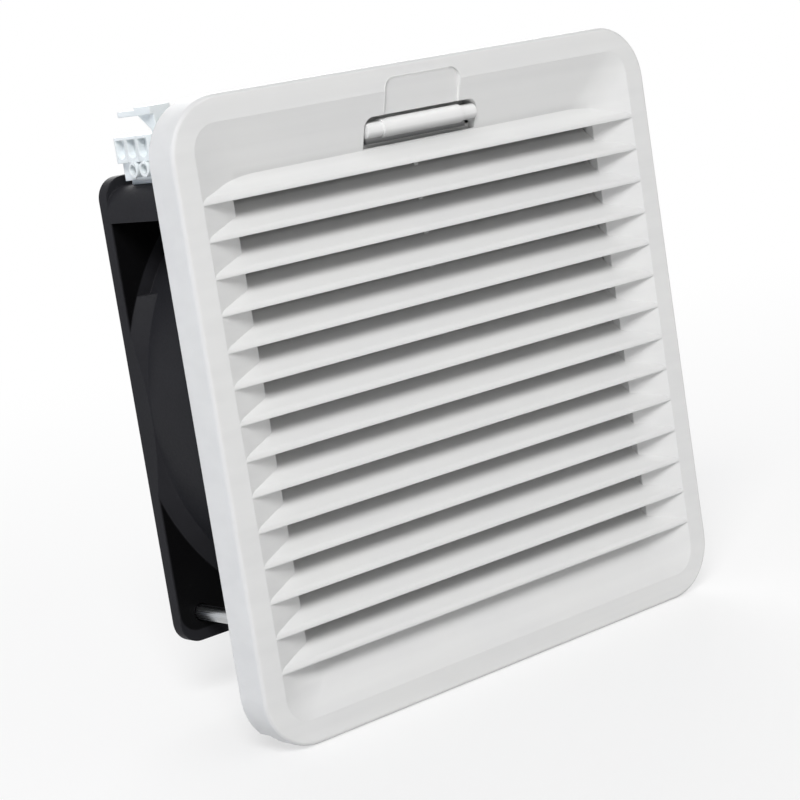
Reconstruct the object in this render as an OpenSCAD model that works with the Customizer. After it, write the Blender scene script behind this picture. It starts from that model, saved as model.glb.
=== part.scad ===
// Cabinet filter fan for a 125 mm cut-out: louvred cover that swings down on two
// bottom pivots, latch bar, plastic base with panel collar, filter mat, compact
// axial fan with its motor, rear wire guard and push-in terminal.
// Millimetres. The origin is the middle of the face that seats on the panel,
// the louvres face -Y, the fan lies at +Y, +Z is up.

/* [Front cover] */
// Outside width and height of the cover
front_size = 153; // [149:0.5:158]
// From the panel to the front of the cover
front_depth = 9.6; // [9.2:0.1:11]
// Radius of the four outer corners
corner_r = 14.3; // [12:0.1:17]
// Rounding of the front edge
edge_r = 1; // [0.8:0.1:2]
// Flat rim around the louvre field
rim_w = 6.3; // [5.5:0.1:7]
// Wall thickness of the cover
wall_t = 2; // [1.7:0.1:2.3]

/* [Louvre] */
// Number of slats
slat_count = 14; // [11:1:15]
// Rise of each slat towards the back, degrees
slat_slope = 40; // [36:1:43]
// Front to back depth of the slats
louvre_depth = 8; // [7.6:0.1:8.4]
// Front to back depth of the sloped border
border_depth = 6.4; // [6:0.1:6.6]
// Width of the sloped border inside the rim
bevel_w = 11.2; // [10:0.1:12]
// Slope of that border, degrees
bevel_angle = 18.8; // [17:0.2:20]

/* [Latch] */
// Length of the latch bar
latch_w = 25.8; // [24:0.2:28]
// Length of the slot that holds it
slot_w = 36.6; // [35:0.2:40]
// Radius of the latch bar
barrel_r = 2.3; // [2.1:0.05:2.4]
// Radius of its two journals
journal_r = 1.9; // [1.7:0.05:2]

/* [Panel collar] */
// Reach of the cover beyond the edge of the panel cut-out
panel_lap = 14; // [13.5:0.1:15]
// Depth of the base behind the panel
collar_depth = 10.5; // [10:0.1:13]
// Thickness of the seated gasket
gasket_t = 1.2; // [1:0.1:1.4]
// Bars across the filter support, each way
support_bars = 9; // [7:1:11]

/* [Fan] */
// Slack of the fan in the cut-out, both sides together
fan_gap = 6; // [5.5:0.1:8]
// Depth of the fan
fan_depth = 38; // [34:1:42]
// Distance of the screw holes from the edges of the fan
hole_inset = 7; // [6.6:0.1:7.4]
// Number of blades
blade_count = 7; // [5:1:8]
// Blade angle at the hub, degrees from the disc
blade_angle = 46; // [42:1:50]
// Loss of that angle towards the tip, degrees
blade_twist = 16; // [8:1:20]

/* [Terminal] */
// Spacing of the terminal poles
pole_pitch = 4.7; // [4.5:0.1:5.2]
// Bore of the wire entries, radius
entry_r = 1.25; // [1:0.05:1.4]

/* [Hidden] */
$fn = 64;
eps = 0.01;
run_fit = 0.05;

half = front_size/2;
cutout = front_size - 2*panel_lap;
fan_size = cutout - fan_gap;
rim_in = half - rim_w;
win = rim_in - bevel_w;
bevel_k = tan(bevel_angle);
skirt_z = 0.5;
grid_z = front_depth - border_depth;
slat_back = front_depth - louvre_depth;
groove_in = rim_in - 4;
groove_z = front_depth - 3;

slat_rise = tan(slat_slope);
slat_nose = 0.5;
slat_top = 1.4;
nose_drop = 0.2;
slat_first = win - 6.6;
slat_last = -win + 1.75;
slat_step = (slat_first - slat_last)/(slat_count - 1);
slat_meet = (rim_in - slat_first - slat_top + slat_rise*slat_nose)/(1/bevel_k + slat_rise);
win_top = rim_in - slat_meet/bevel_k - 0.3;
win_bot = slat_last + 0.3;
slat_rear = slat_rise*(louvre_depth - slat_nose);
rib_w = 1.4;
rib_t = 0.9;

latch_y = win_top + 4.8;
latch_z = front_depth - 3.75;
slot_y0 = win_top + 0.55;
slot_y1 = latch_y + barrel_r + 0.8;
hook_w = latch_w - 11.8;
saddle_in = slot_w/2 - 1.8;
hook_y = latch_y + 1.6;
hook_z = 0.9;

hinge_y = -(half - 4.5);
hinge_z = 4.6;
hinge_x = half - 28.5;
hinge_pin_r = 1.25;
lug_w = 7;
lug_r = 2.6;
cheek_w = 2;
cheek_gap = 0.6;

flange_half = half - 5.7;
flange_z = grid_z - 0.2;
flange_r = 9;
collar_half = cutout/2 - 0.8;
collar_t = 2.2;
tray_half = collar_half - collar_t;
slat_end = min(win + 0.2, tray_half - 0.3);
plate_t = 2.2;
boss_r = 4.8;
ratchet_at = collar_half - 31.7;

fan_z1 = -collar_depth;
fan_z0 = fan_z1 - fan_depth;
fan_half = fan_size/2;
fan_r = 5.5;
fan_flange_t = 3.4;
duct_r = fan_half - 3.3;
duct_t = 3.2;
flare_r = duct_r + 6.8;
flare_t = 3.4;
wall_drop = 2.5;
hole_at = fan_half - hole_inset;
hole_r = 2.25;

support_z0 = -5.4;
support_t = 2;
support_half = tray_half - 0.3;
support_rim = 3;
support_bar = 1.4;
mat_z0 = support_z0 + support_t;
mat_z1 = slat_back - 0.3;
mat_half = tray_half - 0.5;

tube_r = 8;
seat_r = 6.5;
shaft_r = 2;
rotor_r = 30;
hub_r = rotor_r + 3;
core_in = tube_r + 4.5;
core_out = rotor_r - 8.5;
core_mid = (core_in + core_out)/2;
tip_r = duct_r - 1.4;
strut_w = 5;

wire_r = 0.9;
guard_in = 2*tube_r;
guard_step = (duct_r - 2.2 - guard_in)/4;
screw_r = 1.95;
screw_head_r = 3.6;
screw_head_t = 2.4;
screw_tip = support_z0 - 1.2;

term_x = -(fan_half - 2);
term_z = fan_z0 + 15*fan_depth/38;
base_y = fan_half - wall_drop;
base_t = 1.2;
post_x = term_x + 13.5;
foot_x = term_x + 3.6;
low_x = term_x + 1.5;
tongue_x = term_x + 6.5;
term_y = base_y + base_t;
entry_y = term_y + 2.6;
recess_r = pole_pitch/2 - 0.55;
recess_t = 2;
clamp_w = 2.5;

// Height inside the fan, given for a fan 38 mm deep, from its rear face
function fz(h) = fan_z0 + h*fan_depth/38;

// Pieces are drawn face on, x right, y up, z to the front, then stood up
module face_on() {
  rotate([90, 0, 0]) children();
}

module slab(w, h, r, z0, z1) {
  translate([-w/2 + r, -h/2, z0]) cube([w - 2*r, h, z1 - z0]);
  translate([-w/2, -h/2 + r, z0]) cube([w, h - 2*r, z1 - z0]);
  for (sx = [-1, 1], sy = [-1, 1])
    translate([sx*(w/2 - r), sy*(h/2 - r), z0]) cylinder(h = z1 - z0, r = r);
}

module soft_slab(w, r, e, z0, z1) {
  slab(w, w, r, z0, z1 - e);
  slab(w - 2*e, w - 2*e, r - e, z0, z1);
  for (s = [-1, 1]) {
    translate([-w/2 + r, s*(w/2 - e), z1 - e]) rotate([0, 90, 0]) cylinder(h = w - 2*r, r = e);
    translate([s*(w/2 - e), w/2 - r, z1 - e]) rotate([90, 0, 0]) cylinder(h = w - 2*r, r = e);
  }
  for (sx = [-1, 1], sy = [-1, 1])
    translate([sx*(w/2 - r), sy*(w/2 - r), z1 - e]) rotate_extrude() translate([r - e, 0]) circle(r = e);
}

module box(x0, x1, y0, y1, z0, z1) {
  translate([x0, y0, z0]) cube([x1 - x0, y1 - y0, z1 - z0]);
}

module rod_x(x0, x1, y, z, r) {
  translate([x0, y, z]) rotate([0, 90, 0]) cylinder(h = x1 - x0, r = r);
}

module ring_z(r0, r1, z0, z1) {
  difference() {
    translate([0, 0, z0]) cylinder(h = z1 - z0, r = r1);
    translate([0, 0, z0 - 1]) cylinder(h = z1 - z0 + 2, r = r0);
  }
}

module at_holes() {
  for (sx = [-1, 1], sy = [-1, 1]) translate([sx*hole_at, sy*hole_at, 0]) children();
}

// One slat, a rounded nose and a web that rises towards the back
module slat(y) {
  section = [
    [front_depth, y - nose_drop], [front_depth, y + 0.35], [front_depth - 0.15, y + 0.85],
    [front_depth - slat_nose, y + slat_top],
    [slat_back, y + slat_top + slat_rear], [slat_back, y + slat_rear - 0.2],
    [front_depth - 0.75, y - nose_drop]];
  translate([rim_in, 0, 0]) rotate([0, -90, 0]) linear_extrude(height = 2*rim_in) polygon(section);
}

module louvre() {
  for (i = [0 : slat_count - 1]) slat(slat_first - i*slat_step);
}

module bevel_pocket() {
  deep_half = rim_in - 5/bevel_k;
  hull() {
    slab(2*rim_in, 2*rim_in, corner_r - rim_w - 1.4, front_depth, front_depth + 0.1, $fn = 48);
    slab(2*deep_half, 2*deep_half, 6, front_depth - 5, front_depth - 5 + eps, $fn = 48);
  }
}

module thumb_recess() {
  top = half - 2.8;
  wide = slot_w/2 - 6.05;
  r = 3;
  translate([0, slot_y1 - 1, front_depth - 2.9]) rotate([15.4, 0, 0]) {
    box(-wide, wide, 0, top - slot_y1 + 1 - r, 0, 6);
    box(-wide + r, wide - r, 0, top - slot_y1 + 1, 0, 6);
    for (s = [-1, 1]) translate([s*(wide - r), top - slot_y1 + 1 - r, 0]) cylinder(h = 6, r = r);
  }
}

module latch_slot() {
  r = 2.5;
  box(-slot_w/2, slot_w/2, slot_y0, slot_y1 - r, 0, front_depth);
  box(-slot_w/2 + r, slot_w/2 - r, slot_y0, slot_y1, 0, front_depth);
  for (s = [-1, 1]) translate([s*(slot_w/2 - r), slot_y1 - r, 0]) cylinder(h = front_depth, r = r);
}

// Stop strip under the free edge of the latch leaf
module leaf_strip() {
  box(-slot_w/2, slot_w/2, slot_y0 - 0.6, slot_y0 + 1.4, grid_z - 0.8, grid_z + eps);
}

module latch_saddles() {
  for (s = [-1, 1]) difference() {
    box(min(s*saddle_in, s*(slot_w/2 + 0.3)), max(s*saddle_in, s*(slot_w/2 + 0.3)),
      latch_y - journal_r + 0.1, latch_y + journal_r - 0.1, grid_z, latch_z - 0.3);
    rod_x(-slot_w/2 + 0.3, slot_w/2 - 0.3, latch_y, latch_z, journal_r + run_fit);
  }
}

module hinge_cheeks() {
  for (sx = [-1, 1]) {
    pin_half = lug_w/2 + cheek_gap + 1;
    rod_x(sx*hinge_x - pin_half, sx*hinge_x + pin_half, hinge_y, hinge_z, hinge_pin_r);
    for (s = [-1, 1]) {
      x0 = sx*hinge_x + s*(lug_w/2 + cheek_gap + cheek_w/2) - cheek_w/2;
      rod_x(x0, x0 + cheek_w, hinge_y, hinge_z, 1.9);
      box(x0, x0 + cheek_w, -half + wall_t - 0.2, hinge_y + 1.2, hinge_z - 0.4, groove_z + 0.2);
    }
  }
}

module front_cover() color("Gainsboro") face_on() {
  difference() {
    union() {
      difference() {
        soft_slab(front_size, corner_r, edge_r, skirt_z, front_depth);
        bevel_pocket();
        box(-win, win, win_bot, slat_first + slat_top, 0, front_depth);
        box(-win + 10, win - 10, win_bot, win_top, 0, front_depth);
      }
      louvre();
    }
    slab(front_size - 2*wall_t, front_size - 2*wall_t, corner_r - wall_t, 0, grid_z);
    difference() {
      slab(front_size - 2*wall_t, front_size - 2*wall_t, corner_r - wall_t, 0, groove_z);
      slab(2*groove_in, 2*groove_in, 5, -1, groove_z + 1);
    }
    box(-half - 1, half + 1, -half - 1, hinge_y, 0, hinge_z - 0.5);
    for (s = [-1, 1])
      rod_x(s*hinge_x - lug_w/2 - 0.5, s*hinge_x + lug_w/2 + 0.5, hinge_y, hinge_z, lug_r + 0.5);
    latch_slot();
    thumb_recess();
  }
  intersection() {
    louvre();
    box(-slat_end, slat_end, win_bot, win_top, slat_back, grid_z + 0.3);
  }
  box(-rib_w/2, rib_w/2, slat_last + slat_rear, win_top + 0.3, slat_back, slat_back + rib_t);
  leaf_strip();
  latch_saddles();
  hinge_cheeks();
}

module cover_latch() color("WhiteSmoke") face_on() {
  leaf_half = saddle_in - 0.3;
  rod_x(-latch_w/2, latch_w/2, latch_y, latch_z, barrel_r);
  rod_x(-slot_w/2 + 0.6, slot_w/2 - 0.6, latch_y, latch_z, journal_r);
  box(-leaf_half, leaf_half, slot_y0 + 0.9, latch_y, latch_z - barrel_r - 0.05, latch_z - barrel_r + 0.75);
  box(-hook_w/2, hook_w/2, latch_y - 0.4, latch_y + 0.6, hook_z, latch_z);
  box(-hook_w/2, hook_w/2, latch_y, hook_y, hook_z, hook_z + 0.8);
}

// Sprung ratchet lug, its tongue cut free from the collar wall on both sides
module ratchet_lug() {
  lip = collar_half + 2.1;
  profile = [
    [collar_half - 0.6, -2.2], [collar_half + 1, -2.2], [collar_half + 0.6, -3.3], [lip - 0.6, -3.3],
    [collar_half + 1, -4.4], [lip, -4.4], [collar_half, -7.6], [collar_half - 0.6, -7.6]];
  translate([0, 4.5, 0]) rotate([90, 0, 0]) linear_extrude(height = 9) polygon(profile);
}

module ratchet_slots() {
  for (e = [-1, 1]) box(collar_half - 3, collar_half + 3, e*5.5 - 0.5, e*5.5 + 0.5, -8.8, -1.2);
  box(collar_half - 3, collar_half + 3, -6, 6, -8.8, -7.8);
}

module at_ratchets() {
  for (sx = [0, 1], sy = [-1, 1]) mirror([sx, 0, 0]) translate([0, sy*ratchet_at, 0]) children();
}

module base_frame() color("Gainsboro") face_on() {
  difference() {
    union() {
      slab(2*flange_half, 2*flange_half, flange_r, gasket_t, flange_z);
      slab(2*collar_half, 2*collar_half, 3, -collar_depth, flange_z);
    }
    slab(2*tray_half, 2*tray_half, 1.5, -collar_depth + plate_t, flange_z + 1);
    translate([0, 0, -collar_depth - 1]) cylinder(h = plate_t + 2, r = duct_r + 0.3);
    at_holes() translate([0, 0, -collar_depth - 1]) cylinder(h = plate_t + 2, r = screw_r + run_fit);
    box(-hook_w/2 - 1, hook_w/2 + 1, tray_half - 1, hook_y + 0.4, hook_z - 0.5, flange_z + 1);
    at_ratchets() ratchet_slots();
  }
  at_holes() difference() {
    translate([0, 0, -collar_depth]) cylinder(h = support_z0 + collar_depth, r = boss_r);
    translate([0, 0, -collar_depth - 1]) cylinder(h = support_z0 + collar_depth + 0.2, r = screw_r + run_fit);
  }
  at_ratchets() ratchet_lug();
  for (s = [-1, 1]) difference() {
    union() {
      rod_x(s*hinge_x - lug_w/2, s*hinge_x + lug_w/2, hinge_y, hinge_z, lug_r);
      box(s*hinge_x - lug_w/2, s*hinge_x + lug_w/2, hinge_y, -groove_in - 0.6, flange_z - 0.1, hinge_z + 0.9);
    }
    rod_x(s*hinge_x - lug_w, s*hinge_x + lug_w, hinge_y, hinge_z, hinge_pin_r + run_fit);
    box(s*hinge_x - lug_w, s*hinge_x + lug_w, hinge_y - 2*lug_r, hinge_y, hinge_z - 1, hinge_z + 1);
  }
}

module support_grid() color("Gainsboro") face_on() {
  inner = support_half - support_rim;
  step = 2*inner/(support_bars + 1);
  difference() {
    box(-support_half, support_half, -support_half, support_half, support_z0, mat_z0);
    box(-inner, inner, -inner, inner, support_z0 - 1, mat_z0 + 1);
  }
  for (i = [1 : support_bars]) {
    at = -inner + i*step;
    box(at - support_bar/2, at + support_bar/2, -inner - 1, inner + 1, support_z0, mat_z0);
    box(-inner - 1, inner + 1, at - support_bar/2, at + support_bar/2, support_z0, mat_z0);
  }
  at_holes() translate([0, 0, support_z0]) cylinder(h = support_t, r = boss_r + 0.4);
}

module panel_gasket() color("DimGray") face_on() {
  difference() {
    slab(2*flange_half - 0.8, 2*flange_half - 0.8, flange_r - 0.4, 0, gasket_t);
    slab(cutout + 5, cutout + 5, 5, -1, gasket_t + 1);
  }
}

module filter_mat() color("White") face_on() {
  slab(2*mat_half, 2*mat_half, 2, mat_z0, mat_z1);
}

// Flare of the duct at the rear flange, trimmed to the square and left off beside the closed corner
module bell_flare() {
  flare_z = fan_z0 + fan_flange_t - 0.1;
  difference() {
    intersection() {
      slab(fan_size, fan_size, fan_r, flare_z, flare_z + flare_t);
      translate([0, 0, flare_z]) cylinder(h = flare_t, r1 = flare_r, r2 = duct_r + duct_t);
    }
    box(-fan_half - 1, -fan_half/3, fan_half - 30, fan_half + 1, fan_z0, fan_z1);
  }
}

module corner_wall() {
  high = fan_size - 2*wall_drop;
  intersection() {
    difference() {
      slab(fan_size, high, fan_r, fan_z0 + 1, fan_z1 - 1);
      slab(fan_size - 4.4, high - 4.4, fan_r - 2.2, fan_z0, fan_z1);
    }
    box(-fan_half - 1, 23.5 - fan_half, fan_half - 11.1, fan_half + 1, fan_z0, fan_z1);
  }
}

module fan_housing() color("DarkSlateGray") face_on() {
  difference() {
    union() {
      slab(fan_size, fan_size, fan_r, fan_z1 - fan_flange_t, fan_z1);
      slab(fan_size, fan_size, fan_r, fan_z0, fan_z0 + fan_flange_t);
      translate([0, 0, fan_z0 + 1]) cylinder(h = fan_depth - 2, r = duct_r + duct_t);
      bell_flare();
      corner_wall();
    }
    translate([0, 0, fan_z0 - 1]) cylinder(h = fan_depth + 2, r = duct_r);
    at_holes() translate([0, 0, fan_z0 - 1]) cylinder(h = fan_depth + 2, r = hole_r);
    for (s = [-1, 1])
      translate([post_x, base_y + 1, term_z + 4*s]) rotate([90, 0, 0]) cylinder(h = 5, r = 1.5 + run_fit);
  }
  for (a = [0 : 3]) rotate([0, 0, 20 + 90*a])
    box(hub_r - 1.5, duct_r + 1, -strut_w/2, strut_w/2, fan_z0, fan_z0 + fan_flange_t);
  translate([0, 0, fan_z0]) cylinder(h = fz(2.5) - fan_z0, r = hub_r);
  ring_z(seat_r, tube_r, fz(2), fz(26));
}

// Cambered blade section, chord along x
module blade_section() {
  chord = 31;
  camber = 3;
  n = 8;
  upper = [for (i = [0 : n]) [chord*(i/n - 0.5), camber*sin(180*i/n) + 0.5 + 0.7*sin(180*sqrt(i/n))]];
  lower = [for (i = [n : -1 : 0]) [chord*(i/n - 0.5), camber*sin(180*i/n) - 0.5]];
  rotate([0, 0, 90 - blade_angle]) polygon(concat(upper, lower));
}

module impeller() color("Black") face_on() {
  difference() {
    intersection() {
      union() {
        translate([0, 0, fz(5.5)]) cylinder(h = fz(31.8) - fz(5.5), r = rotor_r + 2);
        for (i = [0 : blade_count - 1]) rotate([0, 0, 360*i/blade_count])
          translate([25, 0, fz(19.5)]) rotate([0, 90, 0])
            linear_extrude(height = duct_r - 24, twist = -blade_twist, slices = 6, $fn = 8) blade_section();
      }
      translate([0, 0, fz(4)]) cylinder(h = fz(33.5) - fz(4), r = tip_r);
    }
    translate([0, 0, fan_z0]) cylinder(h = fz(30) - fan_z0, r = rotor_r + 0.02);
  }
}

module rotor_cup() color("Silver") face_on() {
  difference() {
    translate([0, 0, fz(7)]) cylinder(h = fz(30) - fz(7), r = rotor_r);
    difference() {
      translate([0, 0, fan_z0]) cylinder(h = fz(28.6) - fan_z0, r = rotor_r - 1.3);
      translate([0, 0, fz(27)]) cylinder(h = 10, r = 4.5);
    }
    translate([0, 0, fan_z0]) cylinder(h = fan_depth, r = shaft_r + 0.02);
  }
}

module rotor_ring() color("Gray") face_on() {
  ring_z(rotor_r - 5.2, rotor_r - 1.32, fz(10.5), fz(22.5));
}

module rotor_shaft() color("LightGray") face_on() {
  translate([0, 0, fz(2.9)]) cylinder(h = fz(29.9) - fz(2.9), r = shaft_r);
}

module shaft_circlip() color("Gray") face_on() {
  difference() {
    ring_z(shaft_r + 0.02, shaft_r + 1.7, fz(3.1), fz(3.8));
    box(-0.8, 0.8, 0, 6, fan_z0, fz(6));
  }
}

module preload_spring() color("Silver") face_on() {
  ring_z(shaft_r + 0.3, shaft_r + 1.1, fz(25.05), fz(26.95));
}

// Shielded ball bearing, its shields set back between the two races
module bearing(h0, h1) {
  difference() {
    ring_z(shaft_r + 0.03, seat_r - 0.02, fz(h0), fz(h1));
    ring_z(shaft_r + 1.1, seat_r - 1.1, fz(h0) - 1, fz(h0) + 0.4);
    ring_z(shaft_r + 1.1, seat_r - 1.1, fz(h1) - 0.4, fz(h1) + 1);
  }
}

module front_bearing() color("Silver") face_on() {
  bearing(20, 25);
}

module rear_bearing() color("Silver") face_on() {
  bearing(4, 9);
}

module stator_core() color("SlateGray") face_on() {
  difference() {
    ring_z(tube_r + 0.02, rotor_r - 5.7, fz(11), fz(22));
    for (a = [0 : 3]) rotate([0, 0, 45 + 90*a]) {
      box(core_in, core_out, -6.5, 6.5, fz(10), fz(23));
      box(core_in, rotor_r, -1.2, 1.2, fz(10), fz(23));
    }
  }
}

module stator_coils() color("Chocolate") face_on() {
  for (a = [0 : 3]) rotate([0, 0, 45 + 90*a]) {
    box(core_in, core_mid, -6, 6, fz(9), fz(24));
    box(core_mid + 0.02, core_out, -6, 6, fz(9), fz(24));
  }
}

module finger_guard() color("Silver") face_on() {
  level = fan_z0 - wire_r - 0.3;
  for (i = [0 : 4]) translate([0, 0, level - 1.5])
    rotate_extrude() translate([guard_in + i*guard_step, 0]) circle(r = wire_r);
  for (a = [0 : 3]) rotate([0, 0, 45 + 90*a])
    rod_x(guard_in - 2, hole_at*sqrt(2) - hole_r - 0.4, 0, level, wire_r);
  at_holes() ring_z(hole_r, hole_r + 2*wire_r, fan_z0 - 2*wire_r, fan_z0);
}

module fan_screws() color("Silver") face_on() {
  seat = fan_z0 - 2*wire_r;
  at_holes() difference() {
    union() {
      translate([0, 0, seat]) cylinder(h = screw_tip - seat, r = screw_r);
      translate([0, 0, seat - screw_head_t]) cylinder(h = screw_head_t, r = screw_head_r);
    }
    box(-2, 2, -0.45, 0.45, seat - screw_head_t - 1, seat - screw_head_t + 1.2);
    box(-0.45, 0.45, -2, 2, seat - screw_head_t - 1, seat - screw_head_t + 1.2);
  }
}

module terminal_bracket() color("White") face_on() {
  z0 = term_z - 1.5*pole_pitch - 0.4;
  z1 = term_z + 1.5*pole_pitch + 0.4;
  plate_y = base_y + 16.5;
  gusset_y = plate_y - 4.2;
  thick_z = term_z + 3;
  tip_z = thick_z - 1;
  box(foot_x, post_x + 6, base_y, base_y + base_t, z0, z1 + 2);
  for (s = [-1, 1])
    translate([post_x, base_y + 0.5, term_z + 4*s]) rotate([90, 0, 0]) cylinder(h = 3.2, r = 1.5);
  box(low_x, post_x, base_y, plate_y + 0.2, z1, z1 + 2);
  box(term_x + 0.5, tongue_x, plate_y, plate_y + 1.4, thick_z - 7.3, z1 + 2);
  box(term_x + 0.5, tongue_x, plate_y, plate_y + 2, thick_z, z1 + 2);
  translate([foot_x, 0, 0]) rotate([0, -90, 0]) linear_extrude(height = 1.6)
    polygon([[z1 + 1, plate_y + 0.2], [z1 + 1, gusset_y], [z1, gusset_y],
      [tip_z, plate_y], [tip_z, plate_y + 0.2]]);
}

module pole(i) {
  z = term_z + (1 - i)*pole_pitch;
  w = pole_pitch/2 - 0.05;
  difference() {
    union() {
      box(term_x, term_x + 11.5, term_y + 4.4, term_y + 10.7, z - w, z + w);
      box(low_x, term_x + 11.5, term_y, term_y + 4.8, z - w, z + w);
      if (i < 2) rod_x(term_x - 0.7, foot_x, entry_y, z, entry_r + 0.65);
    }
    if (i < 2) rod_x(term_x - 2, term_x + 8, entry_y, z, entry_r);
    box(term_x - 1, term_x + recess_t, term_y + 7.1, term_y + 9.9, z - recess_r, z + recess_r);
    rod_x(term_x - 1, term_x + recess_t, term_y + 7.1, z, recess_r);
    box(term_x + 1, term_x + 4, term_y + 8.4, term_y + 9.4, z - 0.8, z + 0.8);
    box(term_x + 3.7, term_x + 9, term_y + 6, term_y + 9.4, z - clamp_w/2 - 0.05, z + clamp_w/2 + 0.05);
  }
}

module terminal_body() color("White") face_on() {
  for (i = [0 : 2]) pole(i);
}

module terminal_clamps() color("Silver") face_on() {
  for (i = [0 : 2])
    translate([0, 0, term_z + (1 - i)*pole_pitch])
      box(term_x + 4.2, term_x + 9, term_y + 6, term_y + 9.2, -clamp_w/2, clamp_w/2);
}

front_cover();
cover_latch();
base_frame();
support_grid();
panel_gasket();
filter_mat();
fan_housing();
impeller();
rotor_cup();
rotor_ring();
rotor_shaft();
shaft_circlip();
preload_spring();
front_bearing();
rear_bearing();
stator_core();
stator_coils();
finger_guard();
fan_screws();
terminal_bracket();
terminal_body();
terminal_clamps();
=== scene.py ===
import bpy
import bmesh
import math
from mathutils import Matrix, Quaternion, Vector, noise


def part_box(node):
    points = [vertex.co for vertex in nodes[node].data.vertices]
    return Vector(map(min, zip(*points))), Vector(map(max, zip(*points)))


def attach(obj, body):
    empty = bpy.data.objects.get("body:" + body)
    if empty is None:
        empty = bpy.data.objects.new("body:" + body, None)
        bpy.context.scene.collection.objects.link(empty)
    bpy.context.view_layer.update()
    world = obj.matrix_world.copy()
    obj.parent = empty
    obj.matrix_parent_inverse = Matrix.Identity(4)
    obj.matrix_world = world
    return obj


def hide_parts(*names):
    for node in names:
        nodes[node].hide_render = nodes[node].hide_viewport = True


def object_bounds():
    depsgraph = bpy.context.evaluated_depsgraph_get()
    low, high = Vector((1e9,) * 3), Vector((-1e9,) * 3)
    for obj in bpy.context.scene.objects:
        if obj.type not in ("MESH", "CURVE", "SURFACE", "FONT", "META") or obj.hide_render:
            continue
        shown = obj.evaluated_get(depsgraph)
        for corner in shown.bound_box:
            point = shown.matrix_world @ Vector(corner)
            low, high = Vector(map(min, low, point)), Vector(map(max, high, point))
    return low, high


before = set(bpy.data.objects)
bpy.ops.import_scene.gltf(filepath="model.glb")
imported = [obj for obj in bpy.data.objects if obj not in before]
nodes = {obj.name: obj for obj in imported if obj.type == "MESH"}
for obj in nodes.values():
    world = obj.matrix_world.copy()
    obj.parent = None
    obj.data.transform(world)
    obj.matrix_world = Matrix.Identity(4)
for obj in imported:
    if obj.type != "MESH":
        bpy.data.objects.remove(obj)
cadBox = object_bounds()
scene = bpy.context.scene
scene.view_settings.view_transform = "Standard"

fullTurn = 2 * math.pi
upright = (math.pi / 2, 0, 0)  # turns a flat form to face along Y
white = (1, 1, 1, 1)
bulk = (0.3, 0.7)  # where most of a noise lies


class Wire:  # a socket that takes part in sums
    def __init__(self, graph, socket):
        self.graph, self.socket = graph, socket

    def sum(self, kind, a, b, clamp=False):
        settings = {"operation": kind, "use_clamp": clamp}
        return self.graph.node("ShaderNodeMath", settings, {0: a, 1: b})[0]

    def __add__(self, other):
        return self.sum("ADD", self, other)

    def __radd__(self, other):
        return self.sum("ADD", other, self)

    def __sub__(self, other):
        return self.sum("SUBTRACT", self, other)

    def __rsub__(self, other):
        return self.sum("SUBTRACT", other, self)

    def __mul__(self, other):
        return self.sum("MULTIPLY", self, other)

    def __rmul__(self, other):
        return self.sum("MULTIPLY", other, self)

    def __truediv__(self, other):
        return self.sum("DIVIDE", self, other)

    def __rtruediv__(self, other):
        return self.sum("DIVIDE", other, self)

    def __pow__(self, other):
        return self.sum("POWER", self, other)

    def __rpow__(self, other):
        return self.sum("POWER", other, self)

    def __abs__(self):
        return self.sum("ABSOLUTE", self, 0.0)

    def held(self):  # kept between 0 and 1
        return self.sum("ADD", self, 0.0, True)


class Made:  # a new node, its outputs by name or number
    def __init__(self, graph, node):
        self.graph, self.raw = graph, node

    def __getitem__(self, key):
        return Wire(self.graph, self.raw.outputs[key])


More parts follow.
